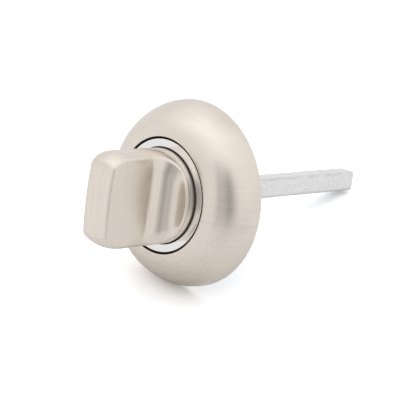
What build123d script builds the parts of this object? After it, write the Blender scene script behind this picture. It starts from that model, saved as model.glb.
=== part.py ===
from build123d import *
import os

# Door thumbturn on a round rose: a turned knob with two scooped sides, in a domed cover with a
# polished trim ring, driving a square spindle.
# Frame: origin at the centre of the rose on the door's face, +Y into the door along the spindle,
# -Y towards the hand, +Z up. The knob is drawn with its blade upright. Lengths are millimetres.
# Sections are drawn as (radius, depth), where depth is the distance in front of the door's face.

# Rose cover: a domed shell that screws over the base
ROSE_D = 52.0             # outside diameter
ROSE_H = 12.3             # door face to the crest round the mouth
ROSE_EDGE_H = 1.0         # straight edge against the door
ROSE_WALL = 1.6           # thickness of the dome
DOME_RISE = 4.2           # how far the dome's curve keeps upright above the edge
DOME_REACH = 5.6          # how far the curve keeps level outside the mouth
DOME_PULL_TRIM = 0.9      # how much shorter both are on the inside of the wall
MOUTH_EDGE_R = 0.25       # rounding of the mouth's edge
RIM_ROOM = 0.4            # room between the base's rim and the dome above it

# Trim ring: a flanged sleeve pressed into the rose's mouth
RING_FACE_W = 2.2         # width of the visible face
RING_FLANGE_T = 2.2       # thickness of the flange
RING_SLEEVE_T = 1.2       # wall of the sleeve
RING_RECESS = 0.3         # face below the rose's crest
RING_GROOVE_W = 0.55      # dark groove between ring and rose
RING_BEVEL = 0.15         # bevel round the face
SLEEVE_TAIL = 1.0         # sleeve past the rose's lip

# Knob: a cylinder with a scoop on each side that leaves an upright blade
KNOB_D = 26.1             # outside diameter
KNOB_FRONT = 35.5         # door face to the middle of the front
KNOB_CROWN = 0.8          # bulge of the front face
KNOB_NOSE_R = 5.4         # rounding between front and side
KNOB_GAP = 0.25           # shadow gap to the trim ring
BLADE_T = 9.6             # thickness of the blade
SCOOP_R = 6.4             # hollow between the blade and the floor
SCOOP_FLOOR = 15.0        # depth of the scoop's flat floor
BLADE_EDGE_R = 1.1        # rounding along the whole edge of each scoop
JOURNAL_D = 15.0          # part of the knob that turns in the bush

# Base: a casting that is screwed to the door under the cover
BASE_FLOOR_T = 2.2        # plate against the door
BASE_RIM_H = 3.4          # rim that carries the cover
BASE_RIM_T = 1.8          # wall of that rim
BASE_BOSS_T = 5.8         # wall of the boss round the bush
FIX_CENTRES = 38.0        # distance between the fixing holes
FIX_D = 4.3               # fixing hole
FIX_PAD_T = 1.9           # wall of the pad round a fixing hole
TRAP_CLEARANCE = 0.6      # room round the washers in the back of the base

# Bush, washers and ring that hold the knob in the base
BUSH_WALL = 1.5
BUSH_FLANGE_T = 0.85
BUSH_FLANGE_W = 3.0       # flange past the sleeve
WASHER_T = 0.6
WASHER_W = 3.4            # radial width of the washer
SPRING_T = 0.3            # sheet of the disc spring
SPRING_H = 0.7            # height of the disc spring as fitted
SPRING_W = 3.0            # radial width of the disc spring
CLIP_T = 1.0
CLIP_W = 1.9              # radial width of the circlip
CLIP_GROOVE = 0.4         # depth of its groove in the journal
CLIP_GAP = 3.0            # opening between its ears
CLIP_EAR_R = 1.35
CLIP_EYE_R = 0.6
CLIP_LAND = 0.6           # journal left behind the groove
JOURNAL_SETBACK = 0.35    # end of the journal in front of the door face

# Spindle and the pin that holds it
SPINDLE_W = 6.0           # across the flats
SPINDLE_CORNER = 0.6      # flattened corners
SPINDLE_REACH = 70.0      # past the door's face
SPINDLE_GRIP = 20.0       # inside the knob
SPINDLE_POINT = 0.9       # bevel of the free end
PIN_D = 2.5
PIN_WALL = 0.5
PIN_SLOT = 0.6
PIN_SETBACK = 0.8         # ends of the pin below the journal's surface
PIN_DEPTH = 6.0           # place of the pin in front of the door face

# Fits
TURN_CLEARANCE = 0.05     # journal in bush, radial
PLAY = 0.05               # end play of the knob
SEAT_CLEARANCE = 0.05     # pieces that are pushed or screwed together

# Radii that several pieces share
rose_r = ROSE_D / 2
knob_r = KNOB_D / 2
journal_r = JOURNAL_D / 2
ring_bore_r = knob_r + KNOB_GAP
ring_r = ring_bore_r + RING_FACE_W
mouth_r = ring_r + RING_GROOVE_W
sleeve_r = ring_bore_r + RING_SLEEVE_T
lip_r = sleeve_r + SEAT_CLEARANCE
thread_r = rose_r - ROSE_WALL
rim_r = thread_r - SEAT_CLEARANCE
bush_bore_r = journal_r + TURN_CLEARANCE
bush_r = bush_bore_r + BUSH_WALL
bush_seat_r = bush_r + SEAT_CLEARANCE
boss_r = bush_seat_r + BASE_BOSS_T
clip_groove_r = journal_r - CLIP_GROOVE
clip_bore_r = clip_groove_r + SEAT_CLEARANCE
washer_bore_r = journal_r + SEAT_CLEARANCE
washer_r = washer_bore_r + WASHER_W
clip_ear_mid_r = clip_bore_r + CLIP_EAR_R
clip_reach_r = clip_ear_mid_r + CLIP_EAR_R
trap_r = max(washer_r, washer_bore_r + SPRING_W, clip_reach_r) + TRAP_CLEARANCE

# Depths, from the door's face towards the hand
clip_back = JOURNAL_SETBACK + CLIP_LAND
clip_front = clip_back + CLIP_T
spring_front = clip_front + SPRING_H
washer_front = spring_front + WASHER_T
trap_depth = washer_front + PLAY
ring_face = ROSE_H - RING_RECESS
ring_seat = ring_face - RING_FLANGE_T
lip_back = ring_seat - ROSE_WALL
boss_front = lip_back - SLEEVE_TAIL
bush_front = boss_front + BUSH_FLANGE_T
foot_back = bush_front + PLAY

# Radius runs along +X and depth along -Y, so a section turns about Y and a cut runs along Z
SECTION = Plane(origin=(0, 0, 0), x_dir=(1, 0, 0), z_dir=(0, 0, -1))


def band(r_in, r_out, d_back, d_front):
    """A rectangle of a section, from one radius and depth to another."""
    return Pos((r_in + r_out) / 2, (d_back + d_front) / 2) * Rectangle(r_out - r_in, d_front - d_back)


def turned(section):
    """The solid that a section makes when it turns about the knob's axis."""
    return revolve(SECTION * section, Axis.Y)


def at_depth(depth, sketch):
    """A sketch seen from the front, laid square to the axis at a depth."""
    face_on = Plane(origin=(0, -depth, 0), x_dir=(1, 0, 0), z_dir=(0, -1, 0))
    return face_on * sketch


def dome(radius, height, foot, rise, reach):
    """The area under a dome's curve, from the axis out to its foot."""
    crest_r = mouth_r + MOUTH_EDGE_R
    curve = Bezier((radius, foot), (radius, foot + rise), (crest_r + reach, height), (crest_r, height))
    outline = curve + Polyline((crest_r, height), (0, height), (0, 0), (radius, 0), (radius, foot))
    return make_face(outline)


def pin_bore(reach):
    """Hole for the pin across the axis, out to a reach on both sides."""
    hole = Plane(origin=(0, -PIN_DEPTH, 0), z_dir=(1, 0, 0)) * Circle(PIN_D / 2 + SEAT_CLEARANCE)
    return extrude(hole, reach, both=True)


def rose_cover():
    """Domed shell with a lip that seats the ring and a plain inner wall that fits over the base's rim."""
    outside = dome(rose_r, ROSE_H, ROSE_EDGE_H, DOME_RISE, DOME_REACH)
    hub_r = mouth_r + ROSE_WALL
    inside = dome(thread_r, ROSE_H - ROSE_WALL, ROSE_EDGE_H,
                  DOME_RISE - DOME_PULL_TRIM, DOME_REACH - DOME_PULL_TRIM)
    inside -= band(0, hub_r, lip_back, ROSE_H)
    thread_room = band(0, thread_r, 0, BASE_RIM_H + RIM_ROOM)
    edge = Pos(mouth_r + MOUTH_EDGE_R, ROSE_H - MOUTH_EDGE_R) * Circle(MOUTH_EDGE_R)
    mouth = band(0, lip_r, 0, ROSE_H) + band(0, mouth_r, ring_seat, ROSE_H)
    mouth += band(0, mouth_r + MOUTH_EDGE_R, ROSE_H - MOUTH_EDGE_R, ROSE_H) - edge
    return turned(outside - inside - thread_room - mouth)


def trim_ring():
    """Polished flange with a sleeve behind it, the face bevelled at both edges."""
    ring = turned(band(ring_bore_r, ring_r, ring_seat, ring_face)
                  + band(ring_bore_r, sleeve_r, boss_front, ring_seat))
    face_edges = ring.edges().filter_by(GeomType.CIRCLE).group_by(Axis.Y)[0]
    return chamfer(face_edges, RING_BEVEL)


def base_plate():
    """Cast dish: plate, rim for the cover, boss for the bush, and a pad round each fixing hole."""
    section = band(0, rim_r, 0, BASE_FLOOR_T)
    section += band(rim_r - BASE_RIM_T, rim_r, 0, BASE_RIM_H)
    section += band(0, boss_r, 0, boss_front)
    section -= band(0, bush_seat_r, 0, boss_front)
    section -= band(0, trap_r, 0, trap_depth)
    plate = turned(section)
    fixings = [Pos(side * FIX_CENTRES / 2, 0) for side in (-1, 1)]
    pads = Sketch() + [place * Circle(FIX_D / 2 + FIX_PAD_T) for place in fixings]
    holes = Sketch() + [place * Circle(FIX_D / 2) for place in fixings]
    plate += extrude(at_depth(0, pads), BASE_RIM_H)
    plate -= extrude(at_depth(0, holes), BASE_RIM_H)
    return plate


def bearing_bush():
    """Flanged sleeve that the knob turns in and bears on."""
    sleeve = band(bush_bore_r, bush_r, trap_depth, boss_front)
    flange = band(bush_bore_r, bush_r + BUSH_FLANGE_W, boss_front, bush_front)
    return turned(sleeve + flange)


def turn_knob():
    """Turned blank with a crowned front, scooped on both sides, with a journal and a square socket."""
    crown = ThreePointArc((-knob_r, KNOB_FRONT - KNOB_CROWN), (0, KNOB_FRONT), (knob_r, KNOB_FRONT - KNOB_CROWN))
    block = make_face(crown + Polyline((knob_r, KNOB_FRONT - KNOB_CROWN), (knob_r, foot_back),
                                       (-knob_r, foot_back), (-knob_r, KNOB_FRONT - KNOB_CROWN)))
    block = fillet(block.vertices().group_by(Axis.Y)[-1], KNOB_NOSE_R)
    stem = band(0, journal_r, JOURNAL_SETBACK, foot_back)
    groove = band(clip_groove_r, journal_r, clip_back, clip_front)
    half = block & band(0, knob_r, 0, KNOB_FRONT)
    blank = turned(half + stem - groove)

    blade_x = BLADE_T / 2
    hollow_top = SCOOP_FLOOR + SCOOP_R
    hollow_end = blade_x + SCOOP_R
    past_x = hollow_end + KNOB_D
    past_front = KNOB_FRONT + KNOB_D
    hollow = RadiusArc((blade_x, hollow_top), (hollow_end, SCOOP_FLOOR), -SCOOP_R)
    outline = hollow + Polyline((hollow_end, SCOOP_FLOOR), (past_x, SCOOP_FLOOR), (past_x, past_front),
                                (blade_x, past_front), (blade_x, hollow_top))
    scoop = extrude(SECTION * make_face(outline), KNOB_D, both=True)
    scoops = [scoop, scoop.mirror(Plane.YZ)]
    blade = blank - scoops
    knob = fillet(new_edges(blank, *scoops, combined=blade), BLADE_EDGE_R)

    socket_w = SPINDLE_W + 2 * SEAT_CLEARANCE
    knob -= extrude(at_depth(0, Rectangle(socket_w, socket_w)), SPINDLE_GRIP + SEAT_CLEARANCE)
    return knob - pin_bore(JOURNAL_D)


def spindle():
    """Square bar with flattened corners, bevelled at its free end and drilled for the pin."""
    section = chamfer(Rectangle(SPINDLE_W, SPINDLE_W).vertices(), SPINDLE_CORNER)
    bar = extrude(at_depth(-SPINDLE_REACH, section), SPINDLE_REACH + SPINDLE_GRIP)
    bar = chamfer(bar.faces().sort_by(Axis.Y)[-1].edges(), SPINDLE_POINT)
    return bar - pin_bore(SPINDLE_W)


def spindle_pin():
    """Rolled spring pin across the journal and the spindle."""
    rolled = Circle(PIN_D / 2) - Circle(PIN_D / 2 - PIN_WALL) - Pos(PIN_D / 2, 0) * Rectangle(PIN_D, PIN_SLOT)
    across = Plane(origin=(0, -PIN_DEPTH, 0), x_dir=(0, -1, 0), z_dir=(1, 0, 0))
    return extrude(across * rolled, journal_r - PIN_SETBACK, both=True)


def retaining_washer():
    """Flat washer that slides on the back of the base."""
    return turned(band(washer_bore_r, washer_r, spring_front, washer_front))


def disc_spring():
    """Coned washer that takes up the end play and drags a little as the knob turns."""
    r_in = washer_bore_r
    r_out = washer_bore_r + SPRING_W
    cone = Polyline((r_in, clip_front), (r_out, spring_front - SPRING_T), (r_out, spring_front),
                    (r_in, clip_front + SPRING_T), close=True)
    return turned(make_face(cone))


def circlip():
    """Open ring with two eyed ears, sprung into the journal's groove."""
    ear_x = CLIP_GAP / 2 + CLIP_EAR_R
    ear_z = -(clip_ear_mid_r ** 2 - ear_x ** 2) ** 0.5
    ears = [Pos(side * ear_x, ear_z) for side in (-1, 1)]
    ring = Circle(clip_bore_r + CLIP_W) + [place * Circle(CLIP_EAR_R) for place in ears]
    ring -= Circle(clip_bore_r)
    ring -= Pos(0, -clip_reach_r) * Rectangle(CLIP_GAP, 2 * clip_reach_r)
    ring -= [place * Circle(CLIP_EYE_R) for place in ears]
    return extrude(at_depth(clip_back, ring), CLIP_T)


PIECES = (rose_cover, trim_ring, base_plate, bearing_bush, turn_knob,
          spindle, spindle_pin, retaining_washer, disc_spring, circlip)

os.makedirs("parts", exist_ok=True)
for make in PIECES:
    piece = make()
    export_step(piece, f"parts/{make.__name__}.step")
    print(make.__name__, "solids", len(piece.solids()), "volume", round(piece.volume, 1))
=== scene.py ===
import logging
import math
from collections.abc import Iterable, Mapping, Sequence
from dataclasses import dataclass, field
from enum import Enum
from functools import reduce
from operator import add
from typing import Any, TypeAlias

import bpy
import numpy as np
from mathutils import Matrix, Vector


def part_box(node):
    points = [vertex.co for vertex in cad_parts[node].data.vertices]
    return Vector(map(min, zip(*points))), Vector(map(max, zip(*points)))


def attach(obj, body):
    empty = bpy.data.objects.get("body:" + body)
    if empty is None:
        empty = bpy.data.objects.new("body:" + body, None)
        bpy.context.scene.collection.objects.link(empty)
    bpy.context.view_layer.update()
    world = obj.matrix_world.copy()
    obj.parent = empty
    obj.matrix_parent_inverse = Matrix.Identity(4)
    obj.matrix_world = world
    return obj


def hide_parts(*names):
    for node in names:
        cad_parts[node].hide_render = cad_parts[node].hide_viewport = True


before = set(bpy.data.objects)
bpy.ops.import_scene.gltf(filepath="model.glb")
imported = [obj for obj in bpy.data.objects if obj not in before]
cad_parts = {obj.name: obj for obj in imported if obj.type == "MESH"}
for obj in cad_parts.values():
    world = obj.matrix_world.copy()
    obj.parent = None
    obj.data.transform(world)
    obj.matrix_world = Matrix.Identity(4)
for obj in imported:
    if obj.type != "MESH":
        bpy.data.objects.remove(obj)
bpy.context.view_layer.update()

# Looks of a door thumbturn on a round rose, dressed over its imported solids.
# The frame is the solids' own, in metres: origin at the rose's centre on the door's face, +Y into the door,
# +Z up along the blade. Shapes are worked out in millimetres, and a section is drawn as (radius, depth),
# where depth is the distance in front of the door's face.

Array: TypeAlias = np.ndarray
Pair: TypeAlias = tuple[float, float]
Triple: TypeAlias = tuple[float, float, float]
Color: TypeAlias = Triple
Value: TypeAlias = "Wire | float | Sequence[float]"

LOG = logging.getLogger("thumbturn")
MM = 0.001
FULL_TURN = 2 * math.pi
WHITE = (1.0, 1.0, 1.0, 1.0)
# Noise is grey about this mean
NOISE_MEAN = 0.5
# Keeps quotients finite
TINY = 1e-9
# Painted shade: the groove beside the ring and the gap beside the knob are painted near-black where shade
# falls in them, and made duller
PAINTED_SHADE_COLOR: Color = (0.035, 0.032, 0.028)


class Wire:
    """One value in a shader: an output socket whose operators add Math nodes."""

    def __init__(self, graph: "Graph", socket: bpy.types.NodeSocket) -> None:
        """Wraps a socket of a graph."""
        self.graph = graph
        self.socket = socket

    def __add__(self, other: Value) -> "Wire":
        """Sum."""
        return self.graph.math("ADD", self, other)

    def __radd__(self, other: Value) -> "Wire":
        """Sum, with a number first."""
        return self.graph.math("ADD", other, self)

    def __sub__(self, other: Value) -> "Wire":
        """Difference."""
        return self.graph.math("SUBTRACT", self, other)

    def __rsub__(self, other: Value) -> "Wire":
        """Difference, with a number first."""
        return self.graph.math("SUBTRACT", other, self)

    def __mul__(self, other: Value) -> "Wire":
        """Product."""
        return self.graph.math("MULTIPLY", self, other)

    def __rmul__(self, other: Value) -> "Wire":
        """Product, with a number first."""
        return self.graph.math("MULTIPLY", other, self)

    def __truediv__(self, other: Value) -> "Wire":
        """Quotient."""
        return self.graph.math("DIVIDE", self, other)

    def __abs__(self) -> "Wire":
        """Size without sign."""
        return self.graph.math("ABSOLUTE", self)

    def most(self, other: Value) -> "Wire":
        """The larger of two values."""
        return self.graph.math("MAXIMUM", self, other)

    def step(self, start: float, end: float, low: float = 0.0, high: float = 1.0) -> "Wire":
        """A smooth step.

        Args:
            start: value where the step begins.
            end: value where it ends.
            low: result before the step.
            high: result after it.

        Returns:
            The eased result.
        """
        inputs = {"Value": self, "From Min": start, "From Max": end, "To Min": low, "To Max": high}
        return self.graph.node("MapRange", {"interpolation_type": "SMOOTHSTEP"}, inputs)


class Graph:
    """A node tree that is written as expressions."""

    # Sockets of a Mix node: its two numbers, its two colours and the mixed colour
    MIX_NUMBERS = (2, 3)
    MIX_COLORS = (6, 7)
    MIXED_COLOR = 2

    def __init__(self, tree: bpy.types.NodeTree) -> None:
        """Empties a node tree and takes it over."""
        tree.nodes.clear()
        self.tree = tree

    def node(self, kind: str, settings: Mapping[str, Any] | None = None,
             inputs: Mapping[str | int, Value] | None = None, output: str | int = 0) -> Wire | None:
        """Adds a node.

        Args:
            kind: type of the node without its ShaderNode prefix.
            settings: properties of the node, set before its sockets.
            inputs: numbers, colours or wires by socket name or number.
            output: name or number of the output to return.

        Returns:
            The chosen output, or None from a node that ends the tree.
        """
        made = self.tree.nodes.new("ShaderNode" + kind)
        for key, value in (settings or {}).items():
            setattr(made, key, value)
        for key, value in (inputs or {}).items():
            if isinstance(value, Wire):
                self.tree.links.new(value.socket, made.inputs[key])
            else:
                made.inputs[key].default_value = value
        return Wire(self, made.outputs[output]) if len(made.outputs) else None

    def math(self, operation: str, *values: Value) -> Wire:
        """Adds one Math node.

        Args:
            operation: Blender's name of the operation.
            values: its operands in order, wires or numbers.

        Returns:
            The node's result.
        """
        return self.node("Math", {"operation": operation}, dict(enumerate(values)))

    def place(self) -> Wire:
        """Object coordinates, in metres."""
        return self.node("TexCoord", output="Object")

    def noise(self, scale: Triple, detail: float = 2.0, turn: Triple = (0.0, 0.0, 0.0)) -> Wire:
        """Noise on object coordinates.

        Args:
            scale: waves per metre along each axis.
            detail: octaves.
            turn: turn of the pattern, in radians.

        Returns:
            Grey from 0 to 1.
        """
        spot = self.node("Mapping", None, {"Vector": self.place(), "Rotation": turn, "Scale": scale})
        return self.node("TexNoise", None, {"Vector": spot, "Scale": 1.0, "Detail": detail})

    def blend(self, factor: Value, first: Value, second: Value) -> Wire:
        """A mix of two numbers by a factor."""
        numbers = dict(zip(self.MIX_NUMBERS, (first, second)))
        return self.node("Mix", {"data_type": "FLOAT"}, {0: factor, **numbers})

    def tint(self, factor: Value, first: Value, second: Value) -> Wire:
        """A mix of two colours.

        Args:
            factor: share of the second colour.
            first: a colour, or a wire of one.
            second: another.

        Returns:
            The mixed colour.
        """
        colors = {socket: color if isinstance(color, Wire) else (*color, 1.0)
                  for socket, color in zip(self.MIX_COLORS, (first, second))}
        return self.node("Mix", {"data_type": "RGBA"}, {0: factor, **colors}, self.MIXED_COLOR)

    def mark(self, name: str) -> Wire:
        """A share that the piece's own mesh carries, 0 where it carries none."""
        return self.node("Attribute", {"attribute_name": name}, None, "Fac")

    def shine(self, color: Wire, roughness: Wire, height: Wire, depth: float,
              metallic: float = 1.0, **fixed: float) -> Wire:
        """A Principled surface whose relief comes from a Bump node.

        Args:
            color: base colour.
            roughness: roughness.
            height: relief, from 0 to 1.
            depth: height of the relief in metres.
            metallic: 1 for metal, 0 for plastic.
            fixed: other sockets by name, with underscores for spaces.

        Returns:
            The surface.
        """
        relief = self.node("Bump", None, {"Strength": 1.0, "Distance": depth, "Height": height})
        inputs = {"Base Color": color, "Roughness": roughness, "Normal": relief, "Metallic": metallic}
        inputs.update({key.replace("_", " "): value for key, value in fixed.items()})
        return self.node("BsdfPrincipled", None, inputs)

    def surface(self, shader: Wire) -> None:
        """Ends the tree in a surface."""
        kind = "OutputWorld" if isinstance(self.tree.id_data, bpy.types.World) else "OutputMaterial"
        self.node(kind, None, {"Surface": shader})


def new_material(name: str) -> tuple[bpy.types.Material, Graph]:
    """Makes an empty material.

    Args:
        name: name of the material.

    Returns:
        The material and the graph of its nodes.
    """
    material = bpy.data.materials.new(name)
    material.use_nodes = True
    return material, Graph(material.node_tree)


def shade(color: Color, factor: float) -> Color:
    """A colour made brighter or darker by a factor, white at most."""
    return tuple(min(1.0, channel * factor) for channel in color)


def weighted(shares: Iterable[float], wires: Iterable[Wire]) -> Wire:
    """The sum of wires times their shares, without those whose share is 0."""
    return reduce(add, (share * wire for share, wire in zip(shares, wires) if share))


class Grain(Enum):
    """Which way a metal was brushed, as waves per millimetre along X, Y and Z.

    The first triple serves faces that look forwards or sideways, the second those that look up or down.
    """

    LEVEL = ((0.02, 0.02, 3.6), (0.02, 3.6, 0.02))
    UPRIGHT = ((5.0, 5.0, 0.045), (5.0, 0.045, 0.045))


@dataclass(frozen=True)
class SatinNickel:
    """Nickel plate over a zinc casting, brushed one way to a silky sheen.

    Attributes:
        name: name of the material.
        grain: direction of the brushing.
        color: colour of the plate.
        roughness: mean roughness.
        scratch: depth of the brushing in metres.
        streak: how much the brush lines vary in colour.
        smear: how much longer a highlight is across the brushing than along it, from 0 to 1.
        smear_turn: turn of that smear from the level, in full turns.
        lines: fineness of each scale of brush lines relative to the grain, and its share.
        upward: how far up or down a face looks where the grain of such faces begins and is alone.
        clouds: waves per metre of the clouds in the plate.
        tints: how much lines, clouds, worn edges and the painted shade mark lighten the colour.
        dulling: how much they add to the roughness.
    """

    name: str
    grain: Grain
    color: Color = (0.8625, 0.785, 0.706)
    roughness: float = 0.27
    scratch: float = 0.25e-6
    streak: float = 0.06
    smear: float = 0.5
    smear_turn: float = 0.25
    lines: tuple[Pair, ...] = ((1.0, 0.5), (0.24, 0.3), (0.07, 0.2))
    upward: Pair = (0.55, 0.85)
    clouds: float = 140.0
    tints: tuple[float, ...] = (2.2, 0.4, 0.15, 0.0)
    dulling: tuple[float, ...] = (0.1, 0.05, 0.24, 0.3)

    def _brushed(self, graph: Graph) -> Wire:
        """Brush lines: a sum of noises that are drawn out along the grain.

        Args:
            graph: nodes of the material.

        Returns:
            Grey from 0 to 1.
        """
        normal = graph.node("TexCoord", output="Normal")
        upward = abs(graph.node("SeparateXYZ", None, {0: normal}, "Z")).step(*self.upward)
        scales = []
        for fineness, _ in self.lines:
            faces, tops = (graph.noise(tuple(wave / MM * fineness for wave in waves))
                           for waves in self.grain.value)
            scales.append(graph.blend(upward, faces, tops))
        return weighted((share for _, share in self.lines), scales)

    def material(self) -> bpy.types.Material:
        """Builds the plate: brush lines, faint clouds, paler and duller edges, and painted shade in the
        groove and the gap beside the ring.

        Returns:
            The finish.
        """
        material, graph = new_material(self.name)
        lines = self._brushed(graph)
        clouds = graph.noise((self.clouds,) * 3, detail=3.0)
        painted_shade = graph.mark("painted_shade")
        changes = (lines - NOISE_MEAN, clouds - NOISE_MEAN, graph.mark("edge"), painted_shade)
        dim, lit = (shade(self.color, 1.0 + streak) for streak in (-self.streak, self.streak))
        plate = graph.tint(weighted(self.tints, changes) + NOISE_MEAN, dim, lit)
        # painted shade: the plate is mixed towards near-black where the painted shade mark lies
        color = graph.tint(painted_shade, plate, PAINTED_SHADE_COLOR)
        roughness = self.roughness + weighted(self.dulling, changes)
        graph.surface(graph.shine(color, roughness, lines, self.scratch, Anisotropic=self.smear,
                                  Anisotropic_Rotation=self.smear_turn))
        return material


@dataclass(frozen=True)
class PolishedChrome:
    """Mirror chrome, with the faint rings that its turning left.

    Attributes:
        name: name of the material.
        color: colour of the plate.
        dim: brightness of its darkest rings, as a share.
        roughness: mean roughness.
        rings: waves per metre of the rings.
        ring_depth: depth of the rings in metres.
        clouds: waves per metre of the clouds in the polish.
        tints: shares of rings and clouds in the colour.
        dulling: how much rings, clouds and the painted shade mark add to the roughness.
    """

    name: str
    color: Color = (0.94, 0.927, 0.91)
    dim: float = 0.96
    roughness: float = 0.06
    rings: float = 4000.0
    ring_depth: float = 2.0e-7
    clouds: float = 220.0
    tints: Pair = (0.6, 0.4)
    dulling: Triple = (0.03, 0.05, 0.4)

    def material(self) -> bpy.types.Material:
        """Builds the mirror: rings of equal radius and soft clouds in the polish.

        Returns:
            The finish.
        """
        material, graph = new_material(self.name)
        x, y, z = (graph.node("SeparateXYZ", None, {0: graph.place()}, axis) for axis in "XYZ")
        radius = graph.math("SQRT", x * x + z * z)
        spot = graph.node("CombineXYZ", None, {"X": radius * self.rings, "Y": y * self.rings})
        rings = graph.node("TexNoise", None, {"Vector": spot, "Scale": 1.0, "Detail": 2.0})
        clouds = graph.noise((self.clouds,) * 3)
        painted_shade = graph.mark("painted_shade")
        plate = graph.tint(weighted(self.tints, (rings, clouds)), shade(self.color, self.dim), self.color)
        # painted shade: the ring below its face is mixed towards near-black
        color = graph.tint(painted_shade, plate, PAINTED_SHADE_COLOR)
        changes = (rings - NOISE_MEAN, clouds - NOISE_MEAN, painted_shade)
        roughness = self.roughness + weighted(self.dulling, changes)
        graph.surface(graph.shine(color, roughness, rings, self.ring_depth))
        return material


@dataclass(frozen=True)
class Layer:
    """One noise of a mottled finish, and what it changes there.

    Attributes:
        scale: waves per metre along each axis.
        detail: octaves.
        tint: its share of the way from the dull colour to the pale one.
        dulling: how much it adds to the roughness.
        relief: its share of the relief.
        border: greys between which it rises from none to full, where it isn't taken as it is.
        turn: turn of the pattern, in radians.
        edge_shade_share: how far the painted shade on the edges follows it, from 0 to 1.
    """

    scale: Triple
    detail: float
    tint: float = 0.0
    dulling: float = 0.0
    relief: float = 0.0
    border: Pair | None = None
    turn: Triple = (0.0, 0.0, 0.0)
    edge_shade_share: float = 0.0

    def grey(self, graph: Graph) -> Wire:
        """The layer's value from 0 to 1, in a material's graph."""
        noise = graph.noise(self.scale, self.detail, self.turn)
        return noise.step(*self.border) if self.border else noise


@dataclass(frozen=True)
class MottledFinish:
    """A finish whose colour, roughness and relief are sums of noises.

    Attributes:
        name: name of the material.
        dull: colour where the noises are 0.
        pale: colour where they are 1.
        roughness: roughness where they are 0.
        depth: height of the relief in metres.
        layers: the noises.
        edge_wear_and_shade: darker colour of the edges, a painted shade, if there is one.
        metallic: 1 for metal, 0 for plastic.
        fixed: other sockets of the surface by name, with underscores for spaces.
    """

    name: str
    dull: Color
    pale: Color
    roughness: float
    depth: float
    layers: tuple[Layer, ...]
    edge_wear_and_shade: Color | None = None
    metallic: float = 1.0
    fixed: Mapping[str, float] = field(default_factory=dict)

    def material(self) -> bpy.types.Material:
        """Builds the finish from its layers.

        Returns:
            The finish.
        """
        material, graph = new_material(self.name)
        greys = [layer.grey(graph) for layer in self.layers]
        color = graph.tint(weighted((layer.tint for layer in self.layers), greys), self.dull, self.pale)
        # painted shade: edges take the darker colour, in patches that follow the layers
        if self.edge_wear_and_shade is not None:
            shares = [layer.edge_shade_share for layer in self.layers]
            edge_shade_share = 1.0 - sum(shares) + weighted(shares, greys)
            color = graph.tint(graph.mark("edge") * edge_shade_share, color, self.edge_wear_and_shade)
        roughness = self.roughness + weighted((layer.dulling for layer in self.layers), greys)
        relief = weighted((layer.relief for layer in self.layers), greys)
        graph.surface(graph.shine(color, roughness, relief, self.depth, self.metallic, **self.fixed))
        return material


# Bright zinc over drawn steel: drawing lines along the bar, crystal patches and fine pits; its corners are
# painted darker in patches, as painted shade along the edges
ZINC_PLATE = MottledFinish(
    "zinc_plated_steel", dull=(0.8358, 0.8358, 0.8358), pale=(1.0, 1.0, 1.0), edge_wear_and_shade=(0.6965, 0.6965, 0.6965),
    roughness=0.22, depth=2.4e-5, layers=(
        Layer((1900.0, 60.0, 1900.0), 3.0, tint=0.2, dulling=0.16, relief=0.25, border=(0.3, 0.7)),
        Layer((520.0, 260.0, 520.0), 4.0, tint=0.2, dulling=0.18, relief=0.25, border=(0.35, 0.68),
              edge_shade_share=0.75),
        Layer((1700.0, 1300.0, 1700.0), 2.0, tint=0.6, relief=0.5, border=(0.36, 0.58))))

# Bare die-cast zinc: long flow marks and a grainy skin
DIE_CAST_ZINC = MottledFinish(
    "die_cast_base", dull=(0.37, 0.3774, 0.3848), pale=(0.61, 0.6222, 0.6344),
    roughness=0.36, depth=2.4e-5, layers=(
        Layer((120.0, 60.0, 420.0), 3.0, tint=0.6, dulling=0.2, relief=0.3, turn=(0.0, 0.5, 0.0)),
        Layer((1800.0, 1800.0, 1800.0), 4.0, tint=0.4, dulling=0.12, relief=0.7)))

# Undyed nylon, milky and slightly waxy: a mild mottle and a fine moulded skin
NATURAL_NYLON = MottledFinish(
    "nylon_bush", dull=(0.744, 0.73005, 0.68355), pale=(0.80, 0.785, 0.735), metallic=0.0,
    fixed={"IOR": 1.53, "Subsurface_Weight": 0.08, "Subsurface_Scale": 0.002},
    roughness=0.40, depth=1.2e-5, layers=(
        Layer((300.0, 300.0, 300.0), 3.0, tint=1.0),
        Layer((2600.0, 2600.0, 2600.0), 2.0, dulling=0.14, relief=1.0)))

# Phosphated spring steel, dark grey: brown patches where its oil has dried, and a fine crystal skin
SPRING_STEEL = MottledFinish(
    "phosphated_spring_steel", dull=(0.16, 0.165, 0.18), pale=(0.24, 0.21, 0.18),
    roughness=0.30, depth=1.0e-5, layers=(
        Layer((420.0, 420.0, 420.0), 3.0, tint=0.7, dulling=0.16, border=(0.4, 0.65)),
        Layer((3200.0, 3200.0, 3200.0), 3.0, tint=0.3, dulling=0.1, relief=1.0)))


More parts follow.
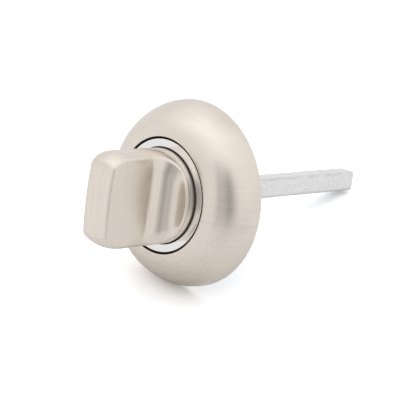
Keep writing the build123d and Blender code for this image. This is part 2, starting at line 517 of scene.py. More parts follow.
class Section:
    """A closed outline of (radius, depth) points in millimetres, drawn stretch by stretch."""

    # The extra points of a straight stretch stand this far inside its ends, or at this share of a short one
    HOLD = 0.04
    SHORT_HOLD = 0.25

    def __init__(self, radius: float, depth: float) -> None:
        """Starts at a point."""
        self.points: list[Array] = [np.array([[radius, depth]])]

    def _end(self) -> Array:
        """The point reached so far."""
        return self.points[-1][-1]

    def line(self, radius: float, depth: float) -> "Section":
        """A straight stretch, with a point just inside each end so that its shading stays flat.

        Args:
            radius: radius of the end.
            depth: depth of the end.

        Returns:
            The section itself.
        """
        start = self._end()
        run = np.array([radius, depth]) - start
        hold = min(self.SHORT_HOLD, self.HOLD / np.hypot(*run))
        steps = np.array([[hold], [1.0 - hold], [1.0]])
        self.points.append(start + steps * run)
        return self

    def curve(self, first: Pair, second: Pair, end: Pair, steps: int) -> "Section":
        """A cubic curve: the sum of its four points weighted by (1-t)^3, 3t(1-t)^2, 3t^2(1-t) and t^3.

        Args:
            first: handle of the start.
            second: handle of the end.
            end: end point.
            steps: number of points.

        Returns:
            The section itself.
        """
        t = np.linspace(0.0, 1.0, steps + 1)[1:, None]
        weights = ((1 - t) ** 3, 3 * t * (1 - t) ** 2, 3 * t ** 2 * (1 - t), t ** 3)
        corners = (self._end(), np.array(first), np.array(second), np.array(end))
        self.points.append(sum(weight * corner for weight, corner in zip(weights, corners)))
        return self

    def corner(self, centre: Pair, radius: float, start_deg: float, end_deg: float, steps: int) -> "Section":
        """A round stretch: centre plus radius times (cosine, sine) of an angle that runs from start to end.

        Args:
            centre: centre of the rounding.
            radius: its radius.
            start_deg: angle where it begins, from the radius direction towards the hand.
            end_deg: angle where it ends.
            steps: number of points.

        Returns:
            The section itself.
        """
        angle = np.radians(np.linspace(start_deg, end_deg, steps + 1))[1:]
        spread = np.stack([np.cos(angle), np.sin(angle)], axis=-1)
        self.points.append(np.array(centre) + radius * spread)
        return self

    def closed(self) -> Array:
        """The outline's points, without the last if it meets the first again."""
        outline = np.concatenate(self.points)
        return outline[:-1] if np.allclose(outline[0], outline[-1]) else outline


@dataclass
class Skin:
    """A surface on a grid of rows and columns, closed round its columns.

    Attributes:
        name: name of the piece.
        points: vertices in millimetres, rows by columns by (x, y, z).
        loop: True if the last row joins the first, as on a ring.
        poles: end points that close the first and last row, where the surface isn't a loop.
        crease: edges sharper than this angle in degrees stay sharp.
        normals: outward directions of the vertices in points' layout, zero where Blender finds them itself.
        marks: named shares from 0 to 1 of each vertex, in points' layout, such as its lying on a worn edge.
    """

    name: str
    points: Array
    loop: bool = False
    poles: tuple[Triple, Triple] | None = None
    crease: float = 32.0
    normals: Array | None = None
    marks: Mapping[str, Array] = field(default_factory=dict)

    def _faces(self) -> tuple[Array, Array]:
        """Quads between neighbouring rows, and triangles round the poles.

        Returns:
            Vertex numbers of the quads and of the triangles.
        """
        rows, columns = self.points.shape[:2]
        number = np.arange(rows * columns).reshape(rows, columns)
        if self.loop:
            number = np.vstack([number, number[:1]])
        beside = np.roll(number, -1, axis=1)
        quads = np.stack([number[:-1], beside[:-1], beside[1:], number[1:]], axis=-1).reshape(-1, 4)
        if self.poles is None:
            return quads, np.zeros((0, 3), int)
        first, last = rows * columns, rows * columns + 1
        start = np.stack([beside[0], number[0], np.full(columns, first)], axis=-1)
        end = np.stack([number[-1], beside[-1], np.full(columns, last)], axis=-1)
        return quads, np.concatenate([start, end])

    def piece(self, material: bpy.types.Material) -> bpy.types.Object:
        """Puts the surface into a mesh, turned outwards.

        Args:
            material: finish of the piece.

        Returns:
            The new object, at the origin.
        """
        spots = self.points.reshape(-1, 3)
        if self.poles is not None:
            spots = np.concatenate([spots, np.array(self.poles)])
        quads, caps = self._faces()
        halves = np.concatenate([quads[:, [0, 1, 2]], quads[:, [0, 2, 3]], caps])
        corners = spots[halves]
        volume = np.einsum("ij,ij->i", corners[:, 0], np.cross(corners[:, 1], corners[:, 2])).sum()
        if volume < 0:
            quads, caps = quads[:, ::-1], caps[:, ::-1]
        mesh = bpy.data.meshes.new(self.name)
        mesh.from_pydata((spots * MM).tolist(), [], quads.tolist() + caps.tolist())
        mesh.shade_smooth()
        mesh.set_sharp_from_angle(angle=math.radians(self.crease))
        for name, share in self.marks.items():
            values = np.zeros(len(spots), np.float32)
            values[:share.size] = share.ravel()
            mesh.attributes.new(name, "FLOAT", "POINT").data.foreach_set("value", values)
        if self.normals is not None:
            given = np.zeros((len(spots), 3))
            given[:self.points.size // 3] = self.normals.reshape(-1, 3)
            ends = np.concatenate([quads.ravel(), caps.ravel()])
            mesh.normals_split_custom_set(given[ends].tolist())
        mesh.materials.append(material)
        made = bpy.data.objects.new(self.name, mesh)
        bpy.context.scene.collection.objects.link(made)
        return made


def smooth(value: Array, start: float, end: float) -> Array:
    """A smooth step from 0 at start to 1 at end: 3t^2 - 2t^3 of the share t of the way."""
    t = np.clip((value - start) / (end - start), 0.0, 1.0)
    return t * t * (3.0 - 2.0 * t)


def turned(section: Array, segments: int) -> Array:
    """Turns a section about the knob's axis: x = r cos t, y = -depth, z = r sin t.

    Args:
        section: (radius, depth) points in millimetres.
        segments: number of steps round the axis.

    Returns:
        Points in millimetres, section by segments by (x, y, z).
    """
    angle = np.linspace(0.0, FULL_TURN, segments, endpoint=False)
    radius, depth = section[:, :1], section[:, 1:]
    x, z = radius * np.cos(angle), radius * np.sin(angle)
    return np.stack([x, np.broadcast_to(-depth, x.shape), z], axis=-1)


def reach(node: str) -> Triple:
    """Sizes of a turned CAD node.

    Args:
        node: name of the node.

    Returns:
        Its largest radius, and its back and front depth, in millimetres.
    """
    low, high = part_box(node)
    return high.z / MM, -high.y / MM, -low.y / MM


def fit(piece: bpy.types.Object, body: str, node: str) -> None:
    """Lets a new piece stand for a CAD node.

    Args:
        piece: the new piece.
        body: body that it moves with.
        node: node that it replaces.
    """
    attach(piece, body)
    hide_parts(node)
    LOG.info("%s stands for %s on %s, %d faces", piece.name, node, body, len(piece.data.polygons))


def dress(node: str, material: bpy.types.Material) -> None:
    """Gives a CAD node its finish.

    Args:
        node: name of the node.
        material: the finish.
    """
    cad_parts[node].material_slots[0].material = material
    LOG.info("%s keeps its solid, in %s", node, material.name)


@dataclass
class Rose:
    """The fixed half: domed cover and trim ring, with the base and the bush under them.

    Attributes:
        wall: thickness of the cover.
        edge_height: straight edge of the cover against the door.
        dome_rise: how far the dome's curve keeps upright above that edge.
        dome_reach: how far it keeps its slope outside the mouth.
        mouth_slope: degrees of that slope.
        inner_rise: how far the inside's curve keeps upright.
        inner_reach: how far it keeps level.
        mouth_edge: rounding of the mouth's edge.
        groove: width of the dark groove between ring and cover.
        groove_shade: how far below the ring's face the painted shade in the groove begins and is full.
        fit_gap: clearance of pieces that are pressed or screwed together.
        thread_room: height of the cylinder that fits over the base's rim.
        ring_face: width of the ring's face.
        ring_flange: thickness of its flange.
        ring_sleeve: wall of its sleeve.
        ring_edge: rounding of the face's two edges.
        segments: steps round the axis.
        dome_steps: steps of the dome's curve.
        inner_steps: steps of the inside's curve.
        mouth_steps: steps of the mouth's rounding.
        ring_steps: steps of each rounding of the ring.
        crease: edges sharper than this angle in degrees stay sharp.
    """

    wall: float = 1.6
    edge_height: float = 1.0
    dome_rise: float = 2.8
    dome_reach: float = 7.4
    mouth_slope: float = 8.5
    inner_rise: float = 3.3
    inner_reach: float = 4.7
    mouth_edge: float = 0.25
    groove: float = 0.55
    groove_shade: Pair = (0.1, 0.3)
    fit_gap: float = 0.05
    thread_room: float = 3.8
    ring_face: float = 2.2
    ring_flange: float = 2.2
    ring_sleeve: float = 1.2
    ring_edge: float = 0.15
    segments: int = 384
    dome_steps: int = 90
    inner_steps: int = 40
    mouth_steps: int = 8
    ring_steps: int = 6
    crease: float = 20.0

    def cover_section(self) -> Array:
        """Outline of the cover: back edge, outer dome, mouth, lip, and the inner dome back to the edge.

        Returns:
            (radius, depth) points in millimetres.
        """
        radius, back, height = reach("rose_cover")
        ring_radius, _, ring_front = reach("trim_ring")
        mouth = ring_radius + self.groove
        lip = ring_radius - self.ring_face + self.ring_sleeve + self.fit_gap
        seat = ring_front - self.ring_flange
        lip_back = seat - self.wall
        crest = mouth + self.mouth_edge
        inner = radius - self.wall
        roof = height - self.wall
        drop = self.dome_reach * math.tan(math.radians(self.mouth_slope))
        section = Section(inner, back).line(radius, back).line(radius, back + self.edge_height)
        section.curve((radius, self.edge_height + self.dome_rise), (crest + self.dome_reach, height - drop),
                      (crest, height), self.dome_steps)
        section.corner((crest, height - self.mouth_edge), self.mouth_edge, 90, 180, self.mouth_steps)
        section.line(mouth, seat).line(lip, seat).line(lip, lip_back).line(mouth + self.wall, lip_back)
        section.line(mouth + self.wall, roof)
        section.curve((crest + self.inner_reach, roof), (inner, self.thread_room + self.inner_rise),
                      (inner, self.thread_room), self.inner_steps)
        return section.line(inner, back).closed()

    def ring_section(self) -> Array:
        """Outline of the ring: flange with a round-edged face, and the sleeve behind it.

        Returns:
            (radius, depth) points in millimetres.
        """
        radius, back, front = reach("trim_ring")
        bore = radius - self.ring_face
        sleeve = bore + self.ring_sleeve
        edge = self.ring_edge
        seat = front - self.ring_flange
        section = Section(bore, back).line(sleeve, back).line(sleeve, seat)
        section.line(radius, seat).line(radius, front - edge)
        section.corner((radius - edge, front - edge), edge, 0, 90, self.ring_steps)
        section.line(bore + edge, front)
        section.corner((bore + edge, front - edge), edge, 90, 180, self.ring_steps)
        return section.line(bore, back).closed()

    def _painted_shade(self, section: Array) -> Array:
        """How much painted shade a section's points take in the groove beside the ring, or behind its face.

        The share rises from 0 to 1 just below the ring's face, for points no farther out than the mouth.

        Args:
            section: (radius, depth) points in millimetres.

        Returns:
            Shares from 0 to 1, one row for each point.
        """
        ring_radius, _, ring_front = reach("trim_ring")
        begin, dark = self.groove_shade
        slack = 0.01
        below = smooth(section[:, 1:], ring_front - begin, ring_front - dark)
        within = section[:, :1] < ring_radius + self.groove + slack
        return np.repeat(below * within, self.segments, axis=1)

    def build(self) -> None:
        """Builds the cover and the ring, and dresses the base and the bush."""
        nickel = SatinNickel("satin_nickel_rose", Grain.LEVEL).material()
        chrome = PolishedChrome("polished_chrome_ring").material()
        outlines = {"rose_cover_shell": self.cover_section(), "trim_ring_mirror": self.ring_section()}
        # Each piece carries a mark for the painted shade in the groove below the ring's face
        cover, ring = (Skin(name, turned(outline, self.segments), loop=True, crease=self.crease,
                            marks={"painted_shade": self._painted_shade(outline)}) for name, outline in outlines.items())
        fit(cover.piece(nickel), "rose", "rose_cover")
        fit(ring.piece(chrome), "rose", "trim_ring")
        dress("base_plate", DIE_CAST_ZINC.material())
        dress("bearing_bush", NATURAL_NYLON.material())


@dataclass
class Turn:
    """The half that turns: knob and spindle, with the pin, washers and circlip that hold them.

    Attributes:
        crown: bulge of the knob's front.
        nose_across: half the width of the ellipse that rounds its front into its side.
        nose_along: half the length of that ellipse, along the axis.
        blade: thickness of the blade.
        scoop: radius of the hollow between blade and floor.
        scoop_floor: depth of the scoop's flat floor.
        blade_edge: rounding along the edge of each scoop.
        rim_edge: how much of it is left at the floor's rim, as a share.
        end_wear: how much deeper the polishing wheel cut where a scoop runs out above and below.
        end_reach: how far in from the blank's surface that wear begins.
        end_zone: shares of the radius, up or down from the axis, where it begins and is full.
        most_cosine: limit for the cosine of the angle between two faces at an edge.
        polish_gain: how soon the worn look of an edge sets in.
        side_polish: how much of that look edges have at the knob's side, where its front has 1.
        gap_shade: how far in front of the ring's face the painted shade of the gap begins and is full.
        foot_back: depth of the foot's back.
        journal: radius of the part in the bush.
        groove_radius: radius of the circlip's groove.
        groove_back: depth of the groove's back.
        groove_front: depth of its front.
        socket: half the width of the square socket.
        socket_depth: depth of its bottom.
        columns: steps round the axis.
        crowding: how much closer columns stand along the blade's edges.
        crowd_band: width of those bands in radians.
        foot_rows: rows up the foot's side.
        edge_rows: rows round each edge.
        floor_rows: rows along the scoop's floor.
        hollow_rows: rows up the hollow.
        blade_rows: rows up the blade's side.
        front_rows: rows from the blade's edge to the middle of the front.
        halvings: how often a ray's interval is halved.
        nudge: distance of the points from which a slope is taken.
        bar_corner: flattened corner of the spindle.
        bar_soften: rounding of the edges of those corners.
        bar_point: bevel of the free end.
        bar_columns: steps round the spindle.
        bar_rows: rows along it.
        bar_crease: its edges sharper than this angle in degrees stay sharp.
        tip_rings: sizes of the rings on the free end's flat, as shares of it.
        knob_radius: radius of the knob, read from the frame.
        knob_back: depth of its back, read from the frame.
        knob_front: depth of its front, read from the frame.
    """

    crown: float = 0.8
    nose_across: float = 3.6
    nose_along: float = 5.8
    blade: float = 9.6
    scoop: float = 6.4
    scoop_floor: float = 15.0
    blade_edge: float = 1.1
    rim_edge: float = 0.55
    end_wear: float = 0.5
    end_reach: float = 3.2
    end_zone: Pair = (0.3, 0.7)
    most_cosine: float = 0.95
    polish_gain: float = 2.2
    side_polish: float = 0.3
    gap_shade: Pair = (0.7, 0.25)
    foot_back: float = 8.1
    journal: float = 7.5
    groove_radius: float = 7.1
    groove_back: float = 0.95
    groove_front: float = 1.95
    socket: float = 3.05
    socket_depth: float = 20.05
    columns: int = 400
    crowding: float = 2.2
    crowd_band: float = 0.11
    foot_rows: int = 8
    edge_rows: int = 20
    floor_rows: int = 4
    hollow_rows: int = 84
    blade_rows: int = 44
    front_rows: int = 26
    halvings: int = 46
    nudge: float = 0.004
    bar_corner: float = 0.6
    bar_soften: float = 0.12
    bar_point: float = 0.9
    bar_columns: int = 192
    bar_rows: int = 60
    bar_crease: float = 25.0
    tip_rings: Pair = (0.97, 0.5)
    knob_radius: float = field(init=False)
    knob_back: float = field(init=False)
    knob_front: float = field(init=False)

    def __post_init__(self) -> None:
        """Takes the knob's outer sizes from the frame."""
        self.knob_radius, self.knob_back, self.knob_front = reach("turn_knob")

    def _blank(self, x: Array, depth: Array, z: Array) -> tuple[Array, Array, Array]:
        """Distance to the turned blank: a cylinder with an elliptic front edge and a crowned front.

        In the corner, with k the length of the offset from the ellipse's centre in units of its half axes,
        and m that of the offset divided by their squares, the distance is about k (k - 1) / m. Elsewhere it
        is the larger of the distances to the side and the front. The crown is a parabola that is added to
        the depth.

        Args:
            x: x of the points.
            depth: depth of the points.
            z: z of the points.

        Returns:
            The distance, and its slope along the radius and along the depth.
        """
        radius = np.hypot(x, z)
        bulge = self.crown * (radius / self.knob_radius) ** 2
        side, ahead = radius - self.knob_radius, depth + bulge - self.knob_front
        share_side, share_ahead = 1.0 + side / self.nose_across, 1.0 + ahead / self.nose_along
        corner = (share_side > 0) & (share_ahead > 0)
        length = np.hypot(share_side, share_ahead)
        lean_side, lean_ahead = share_side / self.nose_across, share_ahead / self.nose_along
        lean = np.maximum(np.hypot(lean_side, lean_ahead), TINY)
        distance = np.where(corner, length * (length - 1.0) / lean, np.maximum(side, ahead))
        slope_side = np.where(corner, lean_side / lean, side > ahead)
        slope_ahead = np.where(corner, lean_ahead / lean, side <= ahead)
        return distance, slope_side, slope_ahead

    def _cut(self, x: Array, depth: Array) -> tuple[Array, Array, Array]:
        """Distance into the scoops: a flat blade side, a round hollow and a level floor, alike on both sides.

        Round the hollow's centre the distance is its radius less the distance to that centre. Beyond it, it
        is the distance to the floor or to the blade's side.

        Args:
            x: x of the points.
            depth: depth of the points.

        Returns:
            The distance, positive in the scoops, and its slope along |x| and along the depth.
        """
        across = np.abs(x)
        centre_x = self.blade / 2 + self.scoop
        centre_depth = self.scoop_floor + self.scoop
        left, below = centre_x - across, centre_depth - depth
        span = np.maximum(np.hypot(left, below), TINY)
        hollow = (left > 0) & (below > 0)
        side, floor = across - self.blade / 2, depth - self.scoop_floor
        beyond = np.where(left > 0, side, np.where(below > 0, floor, np.minimum(side, floor)))
        distance = np.where(hollow, self.scoop - span, beyond)
        slope_x = np.where(hollow, left / span, left > 0)
        slope_depth = np.where(hollow, below / span, left <= 0)
        return distance, slope_x, slope_depth

    def _wear(self, blank: Array, depth: Array, z: Array) -> Array:
        """How much the polishing wheel deepened the hollows' ends: a parabola towards the blank's surface.

        Args:
            blank: distance to the turned blank.
            depth: depth of the points.
            z: z of the points.

        Returns:
            The depth of the wear at each point.
        """
        at_end = smooth(np.abs(z) / self.knob_radius, *self.end_zone)
        in_hollow = smooth(depth, self.scoop_floor + 2.0 * self.scoop, self.scoop_floor + self.scoop)
        nearness = np.clip(1.0 + blank / self.end_reach, 0.0, 1.0)
        return self.end_wear * at_end * in_hollow * nearness ** 2

    def _knob_field(self, x: Array, depth: Array, z: Array) -> tuple[Array, Array]:
        """Distance to the knob: the blank less the scoops, with a ball rolled along their common edge.

        Both distances are first taken from the ball's centre. Where neither face is nearest, the distance to
        the edge follows from both and the cosine c of the angle between their slopes, as the root of
        (a^2 + b^2 - 2abc) / (1 - c^2).

        Args:
            x: x of the points.
            depth: depth of the points.
            z: z of the points.

        Returns:
            The distance, and how worn each point is, from 0 to 1, which only rounded edges are.
        """
        blank, blank_side, blank_ahead = self._blank(x, depth, z)
        cut, cut_x, cut_depth = self._cut(x, depth)
        cut = cut + self._wear(blank, depth, z)
        sideways = np.abs(x) / np.maximum(np.hypot(x, z), TINY)
        cosine = np.clip(blank_side * cut_x * sideways + blank_ahead * cut_depth,
                         -self.most_cosine, self.most_cosine)
        edge = self.blade_edge * (1.0 + (self.rim_edge - 1.0) * cut_depth ** 2)
        a, b = blank + edge, cut + edge
        to_edge = np.sqrt(np.maximum(a * a + b * b - 2 * a * b * cosine, 0.0) / (1 - cosine ** 2))
        outside = np.where(b <= a * cosine, a, np.where(a <= b * cosine, b, to_edge))
        distance = np.where(np.maximum(a, b) <= 0, np.maximum(a, b), outside) - edge
        edge_wear_and_shade = np.clip(self.polish_gain * np.minimum(a, b) / edge, 0.0, 1.0)
        return distance, edge_wear_and_shade * (self.side_polish + (1.0 - self.side_polish) * blank_ahead)

    def _knob_angles(self) -> Array:
        """Angles of the columns, closer together along the blade's four edges.

        The spacing follows the running sum of a density that is 1 plus a bell curve round each edge.

        Returns:
            Angles about the axis, from the x direction.
        """
        samples = 7201
        fine = np.linspace(0.0, FULL_TURN, samples)
        lean = math.acos(self.blade / 2 / self.knob_radius)
        edges = np.array([lean, math.pi - lean, math.pi + lean, FULL_TURN - lean])
        bells = np.exp(-(((fine[:, None] - edges) / self.crowd_band) ** 2))
        density = 1.0 + self.crowding * bells.sum(axis=1)
        total = np.concatenate([[0.0], np.cumsum((density[1:] + density[:-1]) / 2)])
        share = np.linspace(0.0, total[-1], self.columns, endpoint=False)
        return np.interp(share, total, fine)

    def _knob_rises(self) -> Array:
        """Angles of rise of the rays that meet the outside, which all leave the middle of the foot's back.

        They follow the middle section in even steps: up the foot's side, round its edge, along the scoop's
        floor, up the hollow, up the blade's side, round its edge, and over the front to its middle.

        Returns:
            Angles from the level towards the front, in order.
        """
        half, edge = self.blade / 2, self.blade_edge
        rim, crest = self.knob_radius - edge, self.knob_front - edge
        round_edge = np.radians(np.linspace(0.0, 90.0, self.edge_rows + 1))[1:]
        arc = np.radians(np.linspace(90.0, 0.0, self.hollow_rows + 1))[1:]
        up_foot = np.linspace(self.foot_back, self.scoop_floor - edge, self.foot_rows + 1)
        floor = np.linspace(rim, half + self.scoop, self.floor_rows + 1)[1:]
        up_blade = np.linspace(self.scoop_floor + self.scoop, crest, self.blade_rows + 1)[1:]
        inwards = np.linspace(half - edge, 0.0, self.front_rows + 1)[1:-1]
        radius = [np.full_like(up_foot, self.knob_radius), rim + edge * np.cos(round_edge), floor,
                  half + self.scoop * (1 - np.cos(arc)), np.full_like(up_blade, half),
                  half - edge + edge * np.cos(round_edge), inwards]
        depth = [up_foot, self.scoop_floor - edge + edge * np.sin(round_edge),
                 np.full_like(floor, self.scoop_floor), self.scoop_floor + self.scoop * (1 - np.sin(arc)),
                 up_blade, crest + edge * np.sin(round_edge), np.full_like(inwards, self.knob_front)]
        return np.arctan2(np.concatenate(depth) - self.foot_back, np.concatenate(radius))

    def _knob_outside(self, angle: Array) -> tuple[Array, Array, Array]:
        """Where the rays meet the knob, found by halving each ray's interval until it is exact.

        Args:
            angle: angles of the columns.

        Returns:
            Points, outward directions from the field's slope, and wear of the edges.
        """
        start, rise = self.foot_back, self._knob_rises()[:, None]
        run_x, run_z = np.cos(rise) * np.cos(angle), np.cos(rise) * np.sin(angle)
        run_depth = np.broadcast_to(np.sin(rise), run_x.shape)
        near = np.zeros(run_x.shape)
        far = np.full(run_x.shape, 2.0 * self.knob_front)
        for _ in range(self.halvings):
            middle = (near + far) / 2
            inside = self._knob_field(middle * run_x, start + middle * run_depth, middle * run_z)[0] < 0
            near, far = np.where(inside, middle, near), np.where(inside, far, middle)
        spot = (far * run_x, start + far * run_depth, far * run_z)
        slopes = []
        for axis in range(3):
            ahead, behind = ([value + nudge * (axis == index) for index, value in enumerate(spot)]
                             for nudge in (self.nudge, -self.nudge))
            slopes.append(self._knob_field(*ahead)[0] - self._knob_field(*behind)[0])
        length = np.sqrt(sum(slope * slope for slope in slopes))
        normal = np.stack([slopes[0], -slopes[1], slopes[2]], axis=-1) / length[..., None]
        points = np.stack([spot[0], -spot[1], spot[2]], axis=-1)
        return points, normal, self._knob_field(*spot)[1]

    def _knob_inside(self, angle: Array) -> Array:
        """Socket and journal, from the socket's bottom out to the foot's back, as rows of closed curves.

        A square row has the radius half width / max(|cos t|, |sin t|).

        Args:
            angle: angles of the columns.

        Returns:
            Points in rows.
        """
        square = self.socket / np.maximum(np.abs(np.cos(angle)), np.abs(np.sin(angle)))
        hold = Section.HOLD
        bottom, mouth = self.socket_depth, self.knob_back
        walls = [(square / 2, bottom), (square, bottom), (square, bottom - hold), (square, mouth + hold),
                 (square, mouth)]
        outline = Section(self.journal, mouth).line(self.journal, self.groove_back)
        outline.line(self.groove_radius, self.groove_back).line(self.groove_radius, self.groove_front)
        outline.line(self.journal, self.groove_front).line(self.journal, self.foot_back)
        outline.line(self.knob_radius, self.foot_back)
        rounds = [(np.full_like(angle, radius), depth) for radius, depth in outline.closed()[:-1]]
        rows = [np.stack([radius * np.cos(angle), np.full_like(angle, -depth), radius * np.sin(angle)], -1)
                for radius, depth in walls + rounds]
        return np.stack(rows)

    def knob_skin(self) -> Skin:
        """The whole knob as one closed grid, from the socket's bottom to the middle of the front.

        Returns:
            Its surface, with marks for worn edges and for painted shade in the gap beside the ring.
        """
        angle = self._knob_angles()
        inside = self._knob_inside(angle)
        outside, normal, edge_wear_and_shade = self._knob_outside(angle)
        unset = np.zeros_like(inside)
        points = np.concatenate([inside, outside])
        ring_front = reach("trim_ring")[2]
        begin, dark = self.gap_shade
        # painted shade: the knob's foot darkens from just in front of the ring's face down into the gap
        painted_shade = smooth(-points[..., 1], ring_front + begin, ring_front + dark)
        return Skin("turn_knob_body", points,
                    poles=((0.0, -self.socket_depth, 0.0), (0.0, -self.knob_front, 0.0)),
                    normals=np.concatenate([unset, normal]),
                    marks={"edge": np.concatenate([unset[..., 0], edge_wear_and_shade]), "painted_shade": painted_shade})

    def bar_skin(self) -> Skin:
        """The spindle: a square with flattened corners, carried along Y and drawn in at its free end.

        With f and s one over a ray's distance to the flat faces and to the slanted corners, its radius is
        (f^n + s^n)^(-1/n), where n is high and rounds the edges between them. The corners' share of that
        sum, s^n / (f^n + s^n), marks them for painted shade.

        Returns:
            Its surface, with a mark for the painted shade on its corners.
        """
        low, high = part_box("spindle")
        half = high.x / MM
        angle = np.linspace(0.0, FULL_TURN, self.bar_columns, endpoint=False)
        flat = np.maximum(np.abs(np.cos(angle)), np.abs(np.sin(angle))) / half
        slant = (np.abs(np.cos(angle)) + np.abs(np.sin(angle))) / (2 * half - self.bar_corner)
        sharpness = half / self.bar_soften
        both = flat ** sharpness + slant ** sharpness
        radius = both ** (-1.0 / sharpness)
        corner = slant ** sharpness / both
        start, end = low.y / MM, high.y / MM
        hold = Section.HOLD
        bevel_start = end - self.bar_point
        straight = np.linspace(start + 2 * hold, bevel_start - hold, self.bar_rows)
        along = np.concatenate([[start, start + hold], straight,
                                [bevel_start, bevel_start + hold, end - hold, end, end, end]])
        drawn_in = np.clip((along - bevel_start) / self.bar_point, 0.0, 1.0) * self.bar_point / half
        scale = 1.0 - drawn_in
        scale[-2:] *= self.tip_rings
        ring = np.stack([radius * np.cos(angle), np.zeros_like(angle), radius * np.sin(angle)], axis=-1)
        points = ring[None] * scale[:, None, None]
        points[..., 1] = along[:, None]
        # painted shade: the corners' mark darkens them in the zinc finish
        return Skin("spindle_bar", points, poles=((0.0, start, 0.0), (0.0, end, 0.0)), crease=self.bar_crease,
                    marks={"edge": np.broadcast_to(corner, points.shape[:2])})

    def build(self) -> None:
        """Builds the knob and the spindle, and dresses what holds them."""
        nickel = SatinNickel("satin_nickel_knob", Grain.UPRIGHT, roughness=0.23, scratch=2.6e-6,
                             streak=0.09, smear=0.3, smear_turn=0.0).material()
        zinc = ZINC_PLATE.material()
        steel = SPRING_STEEL.material()
        fit(self.knob_skin().piece(nickel), "turn", "turn_knob")
        fit(self.bar_skin().piece(zinc), "turn", "spindle")
        dress("retaining_washer", zinc)
        for node in ("spindle_pin", "disc_spring", "circlip"):
            dress(node, steel)


@dataclass(frozen=True)
class Panel:
    """A stretch of the tent that is brighter or darker than the rest.

    Attributes:
        bearing: degrees of its middle round the floor's upright, from the camera towards the picture's right.
        spread: degrees from its middle to its sides, 180 for one that goes all round.
        low: degrees of its lower edge above the floor.
        high: degrees of its upper edge.
        soft: degrees over which each edge fades, to either side.
        change: share of the tent's brightness that it adds, or takes away where it is negative.
    """

    bearing: float
    spread: float
    low: float
    high: float
    soft: float
    change: float

    def share(self, facing: Wire, height: Wire) -> Wire:
        """How far a direction lies on the panel: a smooth step at each edge, multiplied.

        Args:
            facing: cosine of the direction's bearing from the panel's middle.
            height: degrees of the direction above the floor.

        Returns:
            A share from 0 to 1.
        """
        above = height.step(self.low - self.soft, self.low + self.soft)
        below = height.step(self.high - self.soft, self.high + self.soft, 1.0, 0.0)
        if self.spread >= 180.0:
            return above * below
        outer = math.cos(math.radians(min(180.0, self.spread + self.soft)))
        inner = math.cos(math.radians(self.spread - self.soft))
        return above * below * facing.step(outer, inner)


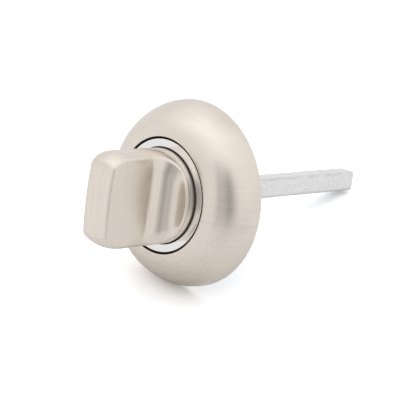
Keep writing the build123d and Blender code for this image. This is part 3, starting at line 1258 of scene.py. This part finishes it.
@dataclass
class Studio:
    """Camera, pale floor and the white tent round them.

    Attributes:
        azimuth: bearing of the camera in degrees, from the knob's front.
        elevation: height of the camera in degrees.
        roll: lean of the picture in degrees.
        distance: millimetres from the camera to the object.
        slide: millimetres that the camera is moved right and up.
        focal: focal length in pixels of the square picture.
        picture: width of the picture in pixels.
        sensor: width of the sensor in millimetres.
        clip: nearest and farthest metres that the camera sees.
        floor_up: direction of the floor's upright in the object's frame.
        floor_level: millimetres of the floor along that upright, where rose and spindle rest on it.
        floor_radius: metres of floor round the object.
        floor_corners: corners of its round rim.
        floor_color: grey of the floor as it lights the object and shows in the metal.
        floor_shift: millimetres towards the camera and the picture's right to the middle of its solid part.
        floor_fade: metres from there over which it fades out.
        floor_white: colour of the floor as the camera sees it.
        tent: brightness of the tent, where 1 is white.
        floor_light: shares of it that matt surfaces receive from the horizon and from the roof.
        roof: degrees above the floor where the roof begins.
        panels: stretches that differ from the rest of the tent.
    """

    azimuth: float = 42.46
    elevation: float = 12.60
    roll: float = 7.97
    distance: float = 399.0
    slide: Pair = (2.49, -2.04)
    focal: float = 1436.58
    picture: float = 400.0
    sensor: float = 36.0
    clip: Pair = (0.01, 10.0)
    floor_up: Triple = (0.1197, -0.3079, 0.9439)
    floor_level: float = -24.74
    floor_radius: float = 0.5
    floor_corners: int = 96
    floor_color: float = 0.84
    floor_shift: Pair = (-18.0, 5.0)
    floor_fade: Pair = (0.06, 0.14)
    floor_white: Color = (1.53, 1.545, 1.565)
    tent: float = 0.8
    floor_light: Pair = (0.14, 1.20)
    roof: float = 50.0
    panels: tuple[Panel, ...] = (
        Panel(180.0, 180.0, 58.0, 150.0, 28.0, 0.36),
        Panel(-140.0, 50.0, 32.0, 80.0, 16.0, 0.20),
        Panel(190.0, 42.0, 40.0, 75.0, 14.0, -0.10),
        Panel(85.0, 45.0, 8.0, 52.0, 12.0, 0.09),
        Panel(-93.0, 24.0, -22.0, 12.0, 8.0, 0.06),
        Panel(-5.0, 23.0, -3.0, 51.0, 8.0, -0.35),
        Panel(15.0, 11.0, -9.0, 47.0, 8.0, -0.24),
        Panel(20.0, 34.0, -46.0, -15.0, 8.0, -0.20),
    )

    def _camera_axes(self) -> Array:
        """Axes of the camera, with the picture's lean.

        Returns:
            Its right, up and back as rows.
        """
        bearing, height = math.radians(self.azimuth), math.radians(self.elevation)
        back = np.array([math.sin(bearing) * math.cos(height), -math.cos(bearing) * math.cos(height),
                         math.sin(height)])
        right = np.array([math.cos(bearing), math.sin(bearing), 0.0])
        up = np.cross(back, right)
        lean = math.radians(self.roll)
        return np.array([math.cos(lean) * right + math.sin(lean) * up,
                         -math.sin(lean) * right + math.cos(lean) * up, back])

    def _floor_axes(self) -> Array:
        """Axes of the floor.

        Returns:
            The directions to the camera, to the picture's right and up from the floor, as rows.
        """
        up = np.array(self.floor_up) / np.linalg.norm(self.floor_up)
        back = self._camera_axes()[2]
        front = back - up * (back @ up)
        front /= np.linalg.norm(front)
        return np.array([front, np.cross(up, front), up])

    def camera(self) -> None:
        """Makes the camera at the photograph's angle."""
        axes = self._camera_axes()
        data = bpy.data.cameras.new("product_camera")
        data.sensor_width = self.sensor
        data.lens = self.sensor * self.focal / self.picture
        data.clip_start, data.clip_end = self.clip
        made = bpy.data.objects.new("product_camera", data)
        pose = np.eye(4)
        pose[:3, :3] = axes.T
        pose[:3, 3] = (axes[2] * self.distance + axes[0] * self.slide[0] + axes[1] * self.slide[1]) * MM
        made.matrix_world = Matrix(pose.tolist())
        bpy.context.scene.collection.objects.link(made)
        bpy.context.scene.camera = made

    def lighting(self) -> None:
        """Makes the white tent: its own brightness plus each panel's change, white to the camera."""
        world = bpy.data.worlds.new("white_tent")
        world.use_nodes = True
        graph = Graph(world.node_tree)
        bpy.context.scene.world = world
        front, right, up = self._floor_axes()
        gaze = graph.node("TexCoord", output="Generated")

        def along(axis: Array) -> Wire:
            """How far the gaze points along an axis, from -1 to 1."""
            return graph.node("VectorMath", {"operation": "DOT_PRODUCT"}, {0: gaze, 1: tuple(axis)}, "Value")

        rise = along(up)
        height = graph.math("ARCSINE", rise) * math.degrees(1.0)
        least_level = 1e-4
        level = graph.math("SQRT", (1.0 - rise * rise).most(least_level))
        share: Value = 1.0
        for panel in self.panels:
            turn = math.radians(panel.bearing)
            facing = along(math.cos(turn) * front + math.sin(turn) * right) / level
            share = share + panel.change * panel.share(facing, height)
        matt_ray = graph.node("LightPath", output="Is Diffuse Ray")
        fill = graph.blend(matt_ray, 1.0, height.step(0.0, self.roof, *self.floor_light))
        lit, blank = (graph.node("Background", None, {"Color": WHITE, "Strength": strength})
                      for strength in (self.tent * share * fill, 1.0))
        camera_ray = graph.node("LightPath", output="Is Camera Ray")
        graph.surface(graph.node("MixShader", None, {0: camera_ray, 1: lit, 2: blank}))

    def floor(self) -> None:
        """Lays a pale disc that takes the object's shadow: its rim is centre + r (cos t, sin t)."""
        front, right, up = self._floor_axes()
        angle = np.linspace(0.0, FULL_TURN, self.floor_corners, endpoint=False)[:, None]
        centre = up * self.floor_level * MM
        rim = centre + self.floor_radius * (np.cos(angle) * front + np.sin(angle) * right)
        mesh = bpy.data.meshes.new("studio_floor")
        mesh.from_pydata(rim.tolist(), [], [list(range(self.floor_corners))])
        made = bpy.data.objects.new("studio_floor", mesh)
        bpy.context.scene.collection.objects.link(made)
        middle = centre + (self.floor_shift[0] * front + self.floor_shift[1] * right) * MM
        mesh.materials.append(self._floor_material(tuple(middle)))

    def _floor_material(self, middle: Triple) -> bpy.types.Material:
        """The floor's finish: matt, whiter to the camera, faded out round its solid part, clear from below.

        Args:
            middle: middle of the solid part, in metres.

        Returns:
            The finish.
        """
        material, graph = new_material("pale_floor")
        offset = graph.node("VectorMath", {"operation": "DISTANCE"}, {0: graph.place(), 1: middle}, "Value")
        fade = offset.step(*self.floor_fade)
        camera_ray = graph.node("LightPath", output="Is Camera Ray")
        color = graph.tint(camera_ray, (self.floor_color,) * 3, self.floor_white)
        matt = graph.node("BsdfDiffuse", None, {"Color": color})
        clear = graph.node("BsdfTransparent")
        below = graph.node("NewGeometry", output="Backfacing")
        graph.surface(graph.node("MixShader", None, {0: fade.most(below), 1: matt, 2: clear}))
        return material

    def build(self) -> None:
        """Sets up the whole studio."""
        bpy.context.scene.view_settings.view_transform = "Standard"
        self.camera()
        self.lighting()
        self.floor()


def main() -> None:
    """Builds the thumbturn's two halves and the studio round them."""
    logging.basicConfig(level=logging.INFO, format="%(name)s: %(message)s")
    Rose().build()
    Turn().build()
    Studio().build()


if __name__ == "__main__":
    main()
